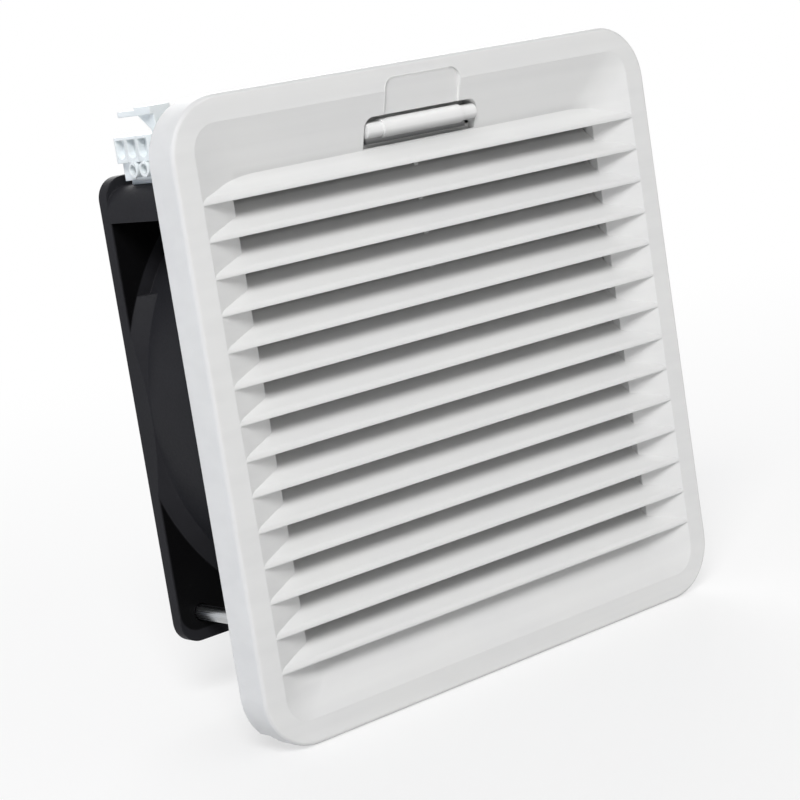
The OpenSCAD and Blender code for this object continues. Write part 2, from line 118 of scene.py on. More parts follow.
class Graph:
    def __init__(self, tree):
        self.tree = tree

    def node(self, kind, settings=None, sockets=None):
        raw = self.tree.nodes.new(kind)
        for key, value in (settings or {}).items():
            setattr(raw, key, value)
        for key, value in (sockets or {}).items():
            if isinstance(value, Wire):
                self.tree.links.new(value.socket, raw.inputs[key])
            else:
                raw.inputs[key].default_value = value
        return Made(self, raw)

    def noise(self, at, scale, detail=2.0, rough=0.5):
        sockets = {"Vector": at, "Scale": scale, "Detail": detail, "Roughness": rough}
        return self.node("ShaderNodeTexNoise", {}, sockets)["Fac"]

    def cells(self, scale):
        sockets = {"Vector": self.at, "Scale": scale}
        return self.node("ShaderNodeTexVoronoi", {"feature": "F1"}, sockets)["Distance"]

    def span(self, value, low, high, toLow=0.0, toHigh=1.0):
        sockets = {"Value": value, "From Min": low, "From Max": high, "To Min": toLow, "To Max": toHigh}
        return self.node("ShaderNodeMapRange", {}, sockets)["Result"]

    def mix(self, part, a, b):
        return self.node("ShaderNodeMix", {"data_type": "RGBA"}, {0: part, 6: a, 7: b})[2]

    def dot(self, a, b):
        return self.node("ShaderNodeVectorMath", {"operation": "DOT_PRODUCT"}, {0: a, 1: b})["Value"]

    def wave(self, kind, angle):  # SINE or COSINE
        return self.node("ShaderNodeMath", {"operation": kind}, {0: angle})[0]

    def axes(self):  # the point's own X, Y and Z
        return self.node("ShaderNodeSeparateXYZ", {}, {"Vector": self.at})

    def vector(self, **parts):
        return self.node("ShaderNodeCombineXYZ", {}, parts)["Vector"]

    def turned(self, at, scale, angle=(0, 0, 0)):
        sockets = {"Vector": at, "Scale": scale, "Rotation": angle}
        return self.node("ShaderNodeMapping", {}, sockets)["Vector"]

    def bump(self, height, depth, strength=1.0, over=None):
        sockets = {"Height": height, "Distance": depth, "Strength": strength}
        if over:
            sockets["Normal"] = over
        return self.node("ShaderNodeBump", {}, sockets)["Normal"]

    def softEdge(self, radius):  # rounded normal, and a mask that is 1 on sharp edges
        soft = self.node("ShaderNodeBevel", {"samples": 6}, {"Radius": radius})["Normal"]
        flat = self.node("ShaderNodeNewGeometry")["Normal"]
        return soft, ((1 - self.dot(soft, flat)) * 4).held()

    # from here on, for geometry trees
    def spots(self, count):  # so many points in one place
        return self.node("GeometryNodeMeshLine", {}, {"Count": count, "Offset": (0, 0, 0)})["Mesh"]

    def index(self):
        return self.node("GeometryNodeInputIndex")["Index"]

    def shapeOf(self, thing):
        return self.node("GeometryNodeObjectInfo", {}, {"Object": thing})["Geometry"]

    def copies(self, points, one, **how):
        sockets = dict(how, Points=points, Instance=one)
        return self.node("GeometryNodeInstanceOnPoints", {}, sockets)["Instances"]

    def moved(self, geometry, **how):
        return self.node("GeometryNodeTransform", {}, dict(how, Geometry=geometry))["Geometry"]

    def joined(self, *parts):
        both = self.node("GeometryNodeJoinGeometry")
        for part in parts:
            self.tree.links.new(part.socket, both.raw.inputs[0])
        return both["Geometry"]

    def real(self, geometry):
        return self.node("GeometryNodeRealizeInstances", {}, {"Geometry": geometry})["Geometry"]

    def circle(self, sides, radius):
        sockets = {"Resolution": sides, "Radius": radius}
        return self.node("GeometryNodeCurvePrimitiveCircle", {}, sockets)["Curve"]

    def frameCurve(self, width, height, radius, steps):  # a rectangle with rounded corners
        sides = {"Width": width, "Height": height}
        plain = self.node("GeometryNodeCurvePrimitiveQuadrilateral", {}, sides)["Curve"]
        sockets = {"Curve": plain, "Count": steps, "Radius": radius}
        return self.node("GeometryNodeFilletCurve", {"mode": "POLY"}, sockets)["Curve"]

    def swept(self, path, section, caps):
        sockets = {"Curve": path, "Profile Curve": section, "Fill Caps": caps}
        return self.node("GeometryNodeCurveToMesh", {}, sockets)["Mesh"]


def tone(r, g, b):  # screen values 0 to 255 to a linear colour
    def line(v):
        v /= 255
        return v / 12.92 if v <= 0.04045 else ((v + 0.055) / 1.055) ** 2.4
    return (line(r), line(g), line(b), 1.0)


def newFinish(name):
    mat = bpy.data.materials.new(name)
    mat.use_nodes = True
    mat.node_tree.nodes.clear()
    graph = Graph(mat.node_tree)
    graph.mat = mat
    graph.at = graph.node("ShaderNodeTexCoord")["Object"]
    return graph


def closeFinish(graph, base, rough, normal, metal=None, constant=None):
    sockets = {"Base Color": base, "Roughness": rough, "Normal": normal}
    if metal is not None:
        sockets["Metallic"] = metal
    sockets.update(constant or {})
    shader = graph.node("ShaderNodeBsdfPrincipled", {}, sockets)
    graph.node("ShaderNodeOutputMaterial", {}, {"Surface": shader["BSDF"]})
    return graph.mat


# camera, at the photograph's place
photoView = {
    "place": (-0.370146, -0.430155, 0.085036),
    "aim": (-0.022574, -0.0096, -0.002828),
    "roll": -8.905,  # degrees
    "lens": 103.484,
    "sensor": 36.0,
    "clip": (0.02, 50.0),
}


def makeCamera(view):
    data = bpy.data.cameras.new("photoCamera")
    data.lens, data.sensor_width = view["lens"], view["sensor"]
    data.clip_start, data.clip_end = view["clip"]
    camera = bpy.data.objects.new("photoCamera", data)
    scene.collection.objects.link(camera)
    look = (Vector(view["aim"]) - Vector(view["place"])).to_track_quat("-Z", "Y")
    camera.rotation_mode = "QUATERNION"
    camera.rotation_quaternion = look @ Quaternion((0, 0, 1), math.radians(view["roll"]))
    camera.location = view["place"]
    scene.camera = camera


makeCamera(photoView)
print("camera set")

# studio: soft key from the upper left, cool fill on the left, a lamp behind, white world
studio = {
    "ambient": 0.24,
    "lean": (0.08, -0.04, 0.0),  # the white walls are brighter to the front and right
    "lamps": {
        "key": {"from": (-0.53, -0.57, 0.63), "far": 2.6, "size": 1.14, "power": 56.0,
                "colour": (1.0, 1.0, 1.0)},
        "side": {"from": (-1.0, 0.2, 0.12), "far": 2.0, "size": 1.2, "power": 4.2,
                 "colour": (0.54, 0.69, 1.0)},
        "rear": {"from": (0.5, 0.75, 0.45), "far": 1.6, "size": 1.2, "power": 13.0,
                 "colour": (1.0, 1.0, 1.0)},
    },
    "floor": tone(244, 244, 244),
    "bounce": tone(230, 230, 230),  # what the floor gives back to the object
    "floorGlow": 0.62,  # share of plain white under the object
    "fade": (0.22, 0.75),  # from the shadow out to plain white, metres
    "fibre": 90.0,
    "fibreTone": (0.985, 1.0),
    "floorHalf": 4,
    "floorGap": 0.0002,
}


def backgroundRay(g):  # 1 for the rays that show the white background
    path = g.node("ShaderNodeLightPath")
    return (path["Is Camera Ray"] + path["Is Glossy Ray"] + path["Is Transmission Ray"]).held()


def makeWorld(s):
    world = bpy.data.worlds.new("studioWorld")
    scene.world = world
    world.use_nodes = True
    world.node_tree.nodes.clear()
    g = Graph(world.node_tree)
    shown = backgroundRay(g)
    facing = g.node("ShaderNodeTexCoord")["Generated"]
    dim = g.dot(facing, s["lean"]) + s["ambient"]
    sockets = {"Color": white, "Strength": dim + shown * (1 - dim)}
    sky = g.node("ShaderNodeBackground", {}, sockets)
    g.node("ShaderNodeOutputWorld", {}, {"Surface": sky["Background"]})


def makeLamps(lamps):
    for name, lamp in lamps.items():
        data = bpy.data.lights.new(name + "Lamp", "AREA")
        data.shape, data.size = "DISK", lamp["size"]
        data.energy, data.color = lamp["power"], lamp["colour"]
        light = bpy.data.objects.new(name + "Lamp", data)
        scene.collection.objects.link(light)
        away = Vector(lamp["from"]).normalized()
        light.location = away * lamp["far"]
        light.rotation_mode = "QUATERNION"
        light.rotation_quaternion = away.to_track_quat("Z", "Y")


def makeFloor(s):
    paper = newFinish("floorPaper")
    shown = backgroundRay(paper)
    fibre = paper.span(paper.noise(paper.at, s["fibre"], 3.0), *bulk, *s["fibreTone"])
    colour = paper.mix(shown * fibre, s["bounce"], s["floor"])
    matt = paper.node("ShaderNodeBsdfDiffuse", {}, {"Color": colour})["BSDF"]
    glow = paper.node("ShaderNodeEmission", {}, {"Color": white, "Strength": 1.0})["Emission"]
    away = paper.node("ShaderNodeVectorMath", {"operation": "LENGTH"}, {0: paper.at})["Value"]
    plain = paper.span(away, *s["fade"], s["floorGlow"], 1.0)
    both = paper.node("ShaderNodeMixShader", {}, {0: shown * plain, 1: matt, 2: glow})
    paper.node("ShaderNodeOutputMaterial", {}, {"Surface": both[0]})
    low, half = cadBox[0].z - s["floorGap"], s["floorHalf"]
    corners = [(-half, -half, low), (half, -half, low), (half, half, low), (-half, half, low)]
    mesh = bpy.data.meshes.new("studioFloor")
    mesh.from_pydata(corners, [], [(0, 1, 2, 3)])
    mesh.materials.append(paper.mat)
    floor = bpy.data.objects.new("studioFloor", mesh)
    scene.collection.objects.link(floor)


makeWorld(studio)
makeLamps(studio["lamps"])
makeFloor(studio)
print("studio set")


def boxMask(g, spans):  # rises from 0 to 1 over each span of the part's own X, Y and Z
    axes = g.axes()
    steps = [g.span(axes[axis], *pair) for axis, pairs in spans.items() for pair in pairs]
    part = steps[0]
    for step in steps[1:]:
        part = part * step
    return part


def overshoot(x, z, reach):  # how far a point lies outside a box of these half widths
    over = [(abs(side) - far) for side, far in zip((x, z), reach)]
    overX, overZ = [side.sum("MAXIMUM", side, 0.0) for side in over]
    return (overX * overX + overZ * overZ) ** 0.5


def outlineMask(g, line):  # a narrow band along a rounded outline
    axes = g.axes()
    off = overshoot(axes["X"], axes["Z"], line["reach"]) - line["radius"]
    return g.span(abs(off), *line["band"]) * boxMask(g, line["spans"])


mouldMarks = {"cloud": 38.0, "flow": (9, 140, 260), "flowTurn": (0.3, 0.2, 0.5), "flowCut": (0.35, 0.65),
              "flowPart": 0.35, "glossier": 0.05, "duller": 0.06, "edgeGloss": 0.08, "bump": 0.5,
              "milkScale": 0.0015}


def mouldedPlastic(name, p):  # satin injection moulding, slightly cloudy, fine spark grain
    g = newFinish(name)
    m = mouldMarks
    soft, edge = g.softEdge(p["round"])
    cloud = g.noise(g.at, m["cloud"], 3.0)
    grain = g.noise(g.at, p["grain"], 2.0, 0.6)
    flow = g.noise(g.turned(g.at, m["flow"], m["flowTurn"]), 1.0, 3.0)
    base = g.mix(g.span(cloud, *bulk), p["shade"], p["colour"])
    base = g.mix(g.span(flow, *m["flowCut"], 0.0, m["flowPart"]), base, p["light"])
    # edges lighter: partly wear, partly a painted highlight
    base = g.mix(edge * p["wear"], base, p["light"])
    # painted shade patches, then painted highlight and shade along outlines
    for patch in p.get("patches", []):
        base = g.mix(boxMask(g, patch["spans"]) * patch["most"], base, patch["colour"])
    for line in p.get("outlines", []):
        base = g.mix(outlineMask(g, line), base, line["colour"])
    rough = g.span(grain, *bulk, p["rough"] - m["glossier"], p["rough"] + m["duller"]) - edge * m["edgeGloss"]
    normal = g.bump(grain, p["depth"], m["bump"], soft)
    constant = {"IOR": 1.5, "Specular IOR Level": p.get("gloss", 0.5)}
    if p.get("milky"):
        constant.update({"Subsurface Weight": p["milky"], "Subsurface Scale": m["milkScale"],
                         "Subsurface Radius": (1.0, 1.0, 1.0)})
    return closeFinish(g, base, rough, normal, constant=constant)


greyPlastic = {"colour": tone(222, 222, 221), "shade": tone(219, 219, 219), "light": tone(230, 230, 229),
               "rough": 0.5, "gloss": 0.3, "grain": 5200.0, "depth": 0.00002, "round": 0.00025, "wear": 0.35}
innerPlastic = dict(greyPlastic, colour=tone(214, 215, 214), shade=tone(210, 211, 210),
                    light=tone(222, 222, 221))
latchPlastic = dict(greyPlastic, colour=tone(229, 229, 228), shade=tone(226, 226, 226),
                    light=tone(236, 236, 235), rough=0.33, grain=6500.0)
latchPlastic["patches"] = [  # painted shade low on the bar, under the barrel
    {"colour": tone(110, 111, 111), "most": 1.0,
     "spans": {"Y": [(-0.0094, -0.0082)], "Z": [(0.0612, 0.0586)]}},
]
slatWindow = {"X": [(-0.059, -0.0575), (0.059, 0.0575)], "Z": [(0.059, 0.0575)]}
slatRear = (-0.00165, -0.0019)  # the painted shade stops short of the slats' rear edges
coverPlastic = dict(greyPlastic, wear=0.1)
coverPlastic["patches"] = [  # painted shade between the slats, darker towards the back
    {"colour": tone(118, 118, 118), "most": 0.34,
     "spans": dict(slatWindow, Y=[(-0.0072, -0.0016), slatRear])},
    {"colour": tone(118, 118, 118), "most": 0.4,
     "spans": dict(slatWindow, Y=[(-0.003, -0.0022), slatRear])},
]
coverPlastic["outlines"] = [  # painted highlight along the lip of the thumb recess, left and top, then painted shade on the outer edge fillet
    {"colour": tone(248, 248, 247), "reach": (0.00925, 0.0702), "radius": 0.003, "band": (0.0004, 0.00015),
     "spans": {"X": [(0.0095, 0.0088)], "Y": [(-0.0068, -0.0072)], "Z": [(0.065, 0.0655)]}},
    {"colour": tone(213, 213, 213), "reach": (0.0622, 0.0622), "radius": 0.0143, "band": (0.0008, 0.0004),
     "spans": {"Y": [(-0.0086, -0.009)]}},
]
nylon = {"colour": tone(235, 240, 242), "shade": tone(226, 234, 236), "light": tone(243, 247, 248),
         "rough": 0.36, "grain": 4200.0, "depth": 0.000015, "round": 0.0003, "wear": 0.3, "milky": 0.35}
bladePlastic = {"colour": tone(36, 36, 38), "shade": tone(30, 30, 32), "light": tone(58, 58, 60),
                "rough": 0.46, "grain": 3800.0, "depth": 0.00003, "round": 0.0004, "wear": 0.4}


def pockets(g, p):  # where shade is painted: 1 in the corners between the flanges, outside the duct and inside the skin
    axes = g.axes()
    x, y, z = [axes[axis] for axis in "XYZ"]
    soft = p["blend"]
    fromAxis = (x * x + z * z) ** 0.5
    skin = overshoot(x, z, p["corner"])
    inside = g.span(fromAxis, p["duct"], p["duct"] + soft) * g.span(skin, p["skin"] - soft, p["skin"], 1.0, 0.0)
    between = g.span(y, p["front"], p["front"] + soft) * g.span(y, p["back"] - soft, p["back"], 1.0, 0.0)
    return inside * between


def blackCasting(name, p):  # stove enamel over a die casting, rubbed grey on its corners, with painted shade in the pockets between the flanges
    g = newFinish(name)
    soft, edge = g.softEdge(p["round"])
    peel = g.noise(g.at, p["peel"], 3.0, 0.55)
    cloud = g.noise(g.at, p["cloud"], 4.0)
    chips = (g.span(g.noise(g.at, p["chip"], 3.0), *p["chipCut"]) * edge).held()
    base = g.mix(g.span(cloud, *bulk), p["deep"], p["colour"])
    base = g.mix(edge * p["edgeRub"] + chips * p["chipRub"], base, p["rubbed"])
    # painted shade in the pockets between the flanges
    base = g.mix(pockets(g, p["pocket"]), base, p["sooty"])
    rough = g.span(cloud, *bulk, *p["rough"]) + g.span(peel, *bulk, *p["peelRough"])
    height = peel * p["peelPart"] + g.cells(p["pits"]) * p["pitPart"]
    normal = g.bump(height, p["depth"], p["bump"], soft)
    return closeFinish(g, base, rough, normal, constant={"IOR": 1.46, "Specular IOR Level": p["gloss"]})


castBlack = {"colour": tone(41, 41, 44), "deep": tone(35, 35, 38), "rubbed": tone(62, 62, 64),
             "sooty": tone(12, 12, 13), "round": 0.0005, "rough": (0.44, 0.56), "gloss": 0.06,
             "peel": 1500.0, "pits": 900.0, "cloud": 60.0, "chip": 700.0, "depth": 0.00008,
             "chipCut": (0.5, 0.62), "edgeRub": 0.25, "chipRub": 0.3, "peelRough": (-0.05, 0.05),
             "peelPart": 0.7, "pitPart": 0.3, "bump": 0.45}
castBlack["pocket"] = {"duct": 0.0628, "corner": (0.054, 0.0515), "skin": 0.0053,
                       "front": 0.0134, "back": 0.0456, "blend": 0.0004}


def workedSteel(name, p):  # turned, drawn or rolled steel: lines round Y, or along it
    g = newFinish(name)
    soft, edge = g.softEdge(p["round"])
    if p["lines"] == "round":
        axes = g.axes()
        radius = (axes["X"] * axes["X"] + axes["Z"] * axes["Z"]) ** 0.5
        drawn = g.vector(X=radius * p["fine"], Y=axes["Y"] * p["fine"])
    else:
        drawn = g.turned(g.at, (p["fine"], p["long"], p["fine"]))
    lines = g.noise(drawn, 1.0, 3.0, 0.6)
    stain = g.noise(g.at, p["patch"], 4.0)
    base = g.mix(g.span(lines, *bulk), p["dark"], p["colour"])
    base = g.mix(g.span(stain, *p["stainCut"], 0.0, p["stainPart"]), base, p["stain"])
    base = g.mix(edge * p["edgePart"], base, p["bright"])
    rough = g.span(lines, *bulk, p["rough"] - p["glossier"], p["rough"] + p["duller"])
    rough = rough + g.span(stain, *p["stainCut"], 0.0, p["stainRough"])
    normal = g.bump(lines, p["depth"], p["bump"], soft)
    return closeFinish(g, base, rough, normal, 1.0)


zincSteel = {"lines": "along", "fine": 2600.0, "long": 14.0, "patch": 120.0, "round": 0.0002, "depth": 0.00001,
             "colour": tone(196, 198, 200), "dark": tone(172, 175, 178), "stain": tone(180, 178, 168),
             "bright": tone(222, 224, 226), "rough": 0.28, "glossier": 0.06, "duller": 0.08, "bump": 0.5,
             "stainCut": (0.5, 0.75), "stainPart": 0.4, "stainRough": 0.1, "edgePart": 0.4}
drawnSteel = dict(zincSteel, lines="round", fine=4200.0, colour=tone(168, 169, 171),
                  dark=tone(140, 141, 144), rough=0.34)
groundSteel = dict(drawnSteel, fine=9000.0, colour=tone(200, 201, 203), dark=tone(180, 181, 184), rough=0.18)
bluedSteel = dict(drawnSteel, colour=tone(70, 72, 82), dark=tone(50, 52, 60), stain=tone(84, 74, 62),
                  bright=tone(130, 132, 138), rough=0.36)
tinned = dict(zincSteel, colour=tone(206, 205, 200), dark=tone(188, 187, 182), rough=0.24)


def sheetStack(name, p):  # varnished laminations, one line per sheet along Y
    g = newFinish(name)
    jitter = g.noise(g.at, p["jitter"], 2.0)
    sheets = g.wave("SINE", g.axes()["Y"] * (fullTurn / p["sheet"]) + jitter * p["sway"])
    seam = g.span(sheets, *p["seamCut"])
    rust = g.span(g.noise(g.at, p["rust"], 4.0), *p["rustCut"], 0.0, p["rustPart"])
    base = g.mix(seam, p["colour"], p["seam"])
    base = g.mix(rust, base, p["stain"])
    normal = g.bump(1 - seam, p["depth"], p["bump"])
    return closeFinish(g, base, p["rough"] + seam * p["seamRough"], normal, p["metal"])


laminated = {"sheet": 0.0005, "jitter": 900.0, "sway": 1.2, "seamCut": (0.55, 1.0), "rust": 260.0,
             "rustCut": (0.55, 0.75), "rustPart": 0.5, "depth": 0.00006, "bump": 0.7,
             "rough": 0.45, "seamRough": 0.2, "metal": 0.7,
             "colour": tone(112, 113, 116), "seam": tone(48, 46, 46), "stain": tone(96, 84, 74)}


def woundCopper(name, p):  # lacquered turns laid side by side
    g = newFinish(name)
    waver = g.noise(g.at, p["waver"], 2.0)
    turns = g.wave("SINE", g.axes()["Y"] * (fullTurn / p["wire"]) + waver * p["sway"])
    groove = g.span(turns, *p["grooveCut"])
    # painted shade in the grooves between the turns
    base = g.mix(groove, p["deep"], p["colour"])
    patch = g.span(g.noise(g.at, p["patch"], 3.0), *p["patchCut"], 0.0, p["patchPart"])
    base = g.mix(patch, base, p["varnish"])
    normal = g.bump(groove, p["depth"], p["bump"])
    rough = p["rough"] - groove * p["glossier"]
    return closeFinish(g, base, rough, normal, p["metal"], {"Coat Weight": p["coat"]})


coilCopper = {"wire": 0.00028, "waver": 400.0, "sway": 2.5, "grooveCut": (-1.0, -0.2), "patch": 150.0,
              "patchCut": (0.45, 0.7), "patchPart": 0.4, "depth": 0.00012, "bump": 0.9,
              "rough": 0.36, "glossier": 0.1, "metal": 0.75, "coat": 0.5,
              "colour": tone(190, 104, 58), "deep": tone(92, 42, 22), "varnish": tone(140, 70, 34)}


def foamRubber(name, p):  # closed cells cut open at the skin
    g = newFinish(name)
    fine = g.noise(g.at, p["fine"], 3.0)
    pore = g.span(g.cells(p["cells"]), *p["poreCut"])
    # painted shade in the open pores
    base = g.mix(pore, p["pore"], p["colour"])
    base = g.mix(g.span(fine, *p["dustCut"], 0.0, p["dustPart"]), base, p["dust"])
    normal = g.bump(pore * p["porePart"] + fine * p["finePart"], p["depth"], p["bump"])
    rough = p["rough"] - pore * p["glossier"]
    return closeFinish(g, base, rough, normal, constant={"Sheen Weight": p["sheen"]})


gasketFoam = {"cells": 1900.0, "poreCut": (0.05, 0.5), "fine": 3000.0, "dustCut": (0.4, 0.7), "dustPart": 0.3,
              "porePart": 0.8, "finePart": 0.2, "depth": 0.0002, "bump": 0.8,
              "rough": 0.86, "glossier": 0.1, "sheen": 0.15,
              "colour": tone(62, 62, 64), "pore": tone(30, 30, 32), "dust": tone(78, 78, 80)}


def fleece(name, p):  # bonded polyester fibres in all directions
    g = newFinish(name)
    layers = None
    for turn, stretch in p["strands"]:
        bent = g.turned(g.at, (stretch, *p["along"]), (0, turn, 0))
        strand = g.span(g.noise(bent, 1.0, 2.0, 0.6), *p["strandCut"])
        layers = strand if layers is None else layers.sum("MAXIMUM", layers, strand)
    clump = g.noise(g.at, p["clump"], 4.0)
    base = g.mix(layers, p["deep"], p["colour"])
    base = g.mix(g.span(clump, *p["greyCut"], 0.0, p["greyPart"]), base, p["grey"])
    normal = g.bump(layers * p["strandPart"] + clump * p["clumpPart"], p["depth"], p["bump"])
    constant = {"Sheen Weight": p["sheen"], "Sheen Roughness": p["sheenRough"]}
    return closeFinish(g, base, p["rough"] - layers * p["glossier"], normal, constant=constant)


# the mat's grey is painted shade: the fleece is toned far down so the gaps between the slats stay dark, darker
# still between the strands
matFleece = {"colour": tone(120, 121, 120), "deep": tone(84, 85, 84), "grey": tone(104, 105, 103),
             "strands": ((0.2, 5200.0), (1.1, 4300.0), (2.0, 4900.0), (2.8, 3900.0)),  # turn, fineness
             "strandCut": (0.46, 0.62), "along": (900.0, 260.0), "strandPart": 0.6,
             "clump": 220.0, "clumpPart": 0.4, "greyCut": (0.42, 0.7), "greyPart": 0.35,
             "depth": 0.0004, "bump": 0.7, "rough": 0.95, "glossier": 0.08, "sheen": 0.35, "sheenRough": 0.5}

finishes = {
    "front_cover": mouldedPlastic("coverPlastic", coverPlastic),
    "cover_latch": mouldedPlastic("latchPlastic", latchPlastic),
    "base_frame": mouldedPlastic("basePlastic", innerPlastic),
    "support_grid": mouldedPlastic("gridPlastic", dict(innerPlastic, rough=0.54)),
    "panel_gasket": foamRubber("gasketFoam", gasketFoam),
    "filter_mat": fleece("matFleece", matFleece),
    "fan_housing": blackCasting("castBlack", castBlack),
    "impeller": mouldedPlastic("bladePlastic", bladePlastic),
    "rotor_cup": workedSteel("drawnSteel", drawnSteel),
    "rotor_ring": sheetStack("cageStack", dict(laminated, sheet=0.00065)),
    "rotor_shaft": workedSteel("groundSteel", groundSteel),
    "shaft_circlip": workedSteel("bluedSteel", bluedSteel),
    "preload_spring": workedSteel("springSteel", dict(zincSteel, rough=0.22)),
    "front_bearing": workedSteel("bearingSteel", dict(groundSteel, rough=0.2)),
    "rear_bearing": workedSteel("bearingSteelRear", dict(groundSteel, rough=0.22)),
    "stator_core": sheetStack("coreStack", laminated),
    "stator_coils": woundCopper("coilCopper", coilCopper),
    "finger_guard": workedSteel("guardWire", dict(zincSteel, rough=0.2)),
    "fan_screws": workedSteel("screwZinc", zincSteel),
    "terminal_bracket": mouldedPlastic("bracketNylon", nylon),
    "terminal_body": mouldedPlastic("terminalNylon", dict(nylon, rough=0.32)),
    "terminal_clamps": workedSteel("clampTin", tinned),
}
for name, finish in finishes.items():
    for held in nodes[name].material_slots:
        held.material = finish
print("finishes on", len(finishes), "solids")


def growTree(name, sizes):  # a node tree with named inputs for its sizes
    tree = bpy.data.node_groups.new(name, "GeometryNodeTree")
    tree.interface.new_socket("Geometry", in_out="INPUT", socket_type="NodeSocketGeometry")
    for label, value in sizes.items():
        kind = "NodeSocketInt" if isinstance(value, int) else "NodeSocketFloat"
        tree.interface.new_socket(label, in_out="INPUT", socket_type=kind)
    tree.interface.new_socket("Geometry", in_out="OUTPUT", socket_type="NodeSocketGeometry")
    graph = Graph(tree)
    return graph, graph.node("NodeGroupInput")


def plainMesh(thing):  # what its modifiers make of it
    bpy.context.view_layer.update()
    return bpy.data.meshes.new_from_object(thing.evaluated_get(bpy.context.evaluated_depsgraph_get()))


def growPiece(name, graph, result, sizes, finish, start=None):
    sockets = {"Geometry": graph.real(result), "Material": finish}
    done = graph.node("GeometryNodeSetMaterial", {}, sockets)["Geometry"]
    graph.node("NodeGroupOutput", {}, {"Geometry": done})
    piece = bpy.data.objects.new(name, start or bpy.data.meshes.new(name))
    scene.collection.objects.link(piece)
    grow = piece.modifiers.new("grow", "NODES")
    grow.node_group = graph.tree
    for item in graph.tree.interface.items_tree:
        if item.in_out == "INPUT" and item.name in sizes:
            grow[item.identifier] = sizes[item.name]
    plain = plainMesh(piece)
    plain.name = name
    piece.modifiers.remove(grow)
    piece.data = plain
    return piece


def smoothPiece(piece, angle):
    piece.data.shade_smooth()
    piece.data.set_sharp_from_angle(angle=math.radians(angle))


def settle(piece, body, node):
    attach(piece, body)
    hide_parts(node)


def meshFrom(name, build, finish=None):
    work = bmesh.new()
    build(work)
    bmesh.ops.remove_doubles(work, verts=work.verts, dist=1e-7)
    bmesh.ops.recalc_face_normals(work, faces=work.faces)
    mesh = bpy.data.meshes.new(name)
    work.to_mesh(mesh)
    work.free()
    if finish:
        mesh.materials.append(finish)
    return mesh


def lathe(work, profile, count):  # turns (radius, y) points about the Y axis
    rings = []
    for radius, y in profile:
        if radius < 1e-7:
            rings.append([work.verts.new((0, y, 0))])
            continue
        ring = []
        for k in range(count):
            a = 2 * math.pi * k / count
            ring.append(work.verts.new((radius * math.cos(a), y, radius * math.sin(a))))
        rings.append(ring)
    for low, high in zip(rings, rings[1:]):
        for k in range(count):
            n = (k + 1) % count
            around = (low[k % len(low)], low[n % len(low)], high[n % len(high)], high[k % len(high)])
            corners = []
            for vert in around:
                if vert not in corners:
                    corners.append(vert)
            if len(corners) > 2:
                work.faces.new(corners)


def arc(centre, radius, first, last, count):
    found = []
    for k in range(count + 1):
        a = math.radians(first + (last - first) * k / count)
        found.append((centre[0] + radius * math.cos(a), centre[1] + radius * math.sin(a)))
    return found


# impeller: hub turned, one blade lofted and set round it
impellerSizes = {"Blades": 7, "Hub radius": 0.032, "Tip radius": 0.0548,
                 "Front": 0.0167, "Back": 0.043, "Cup": 0.03003}
bladeShape = {"root": 0.027, "from": 0.025, "twistOver": 0.0322, "mid": 0.029, "chord": 0.031,
              "camber": 0.003, "angle": 46.0, "twist": 16.0, "sections": 12, "points": 18,
              "skin": 0.0005, "belly": 0.0007, "blunt": 0.07, "thin": 0.98, "tipGap": 0.00005}
hubShape = {"dish": 0.006, "dishDepth": 0.0006, "lip": 0.0066, "lipDepth": 0.0001, "flat": 0.0072,
            "groove": (0.0192, 0.0196, 0.0214, 0.0218), "grooveDepth": 0.0004,
            "round": 0.003, "rim": 0.0004, "plate": 0.0018, "sides": 96}


def bladeOutline(b):  # one section, along the chord and across it
    n = b["points"]
    ease = [0.5 - 0.5 * math.cos(math.pi * i / n) for i in range(n + 1)]
    outline = []
    for side, order in ((1, ease), (-1, ease[-2:0:-1])):
        for s in order:
            end = min(s, 1 - s)
            blunt = 1.0
            if end < b["blunt"]:
                blunt = math.sqrt(max(0.0, 1 - (1 - end / b["blunt"]) ** 2))
            bow = b["camber"] * math.sin(math.pi * s)
            thick = -b["skin"]
            if side > 0:
                thick = b["skin"] + b["belly"] * math.sin(math.pi * math.sqrt(s))
            outline.append((b["chord"] * (s - 0.5), bow + thick * blunt * b["thin"]))
    return outline


def bladeMesh(b, tip):
    def build(work):
        outline = bladeOutline(b)
        loops = []
        for k in range(b["sections"] + 1):
            reach = k / b["sections"]
            loop = []
            for u, v in outline:
                x = b["root"] + reach * (tip - b["root"])
                for again in range(3):  # the tip follows the duct
                    turn = math.radians(90 - b["angle"] + b["twist"] * (x - b["from"]) / b["twistOver"])
                    su = u * math.cos(turn) - v * math.sin(turn)
                    sv = u * math.sin(turn) + v * math.cos(turn)
                    x = b["root"] + reach * (math.sqrt(tip * tip - sv * sv) - b["root"])
                loop.append(work.verts.new((x, b["mid"] + su, sv)))
            loops.append(loop)
        for low, high in zip(loops, loops[1:]):
            for i in range(len(low)):
                j = (i + 1) % len(low)
                work.faces.new((low[i], low[j], high[j], high[i]))
        work.faces.new(loops[0][::-1])
        work.faces.new(loops[-1])
    return meshFrom("bladeStart", build)


def hubMesh(h, sizes):
    hub, front, back, cup = sizes["Hub radius"], sizes["Front"], sizes["Back"], sizes["Cup"]
    a, b, c, d = h["groove"]

    def build(work):
        profile = [(0, front + h["dishDepth"]), (h["dish"], front + h["dishDepth"])]
        profile += [(h["lip"], front + h["lipDepth"]), (h["flat"], front), (a, front)]
        profile += [(b, front + h["grooveDepth"]), (c, front + h["grooveDepth"]), (d, front)]
        profile += arc((hub - h["round"], front + h["round"]), h["round"], -90, 0, 8)
        profile += [(hub, back - h["rim"]), (hub - h["rim"], back), (cup, back)]
        profile += [(cup, front + h["plate"]), (0, front + h["plate"])]
        lathe(work, profile, h["sides"])
    return meshFrom("hubStart", build)


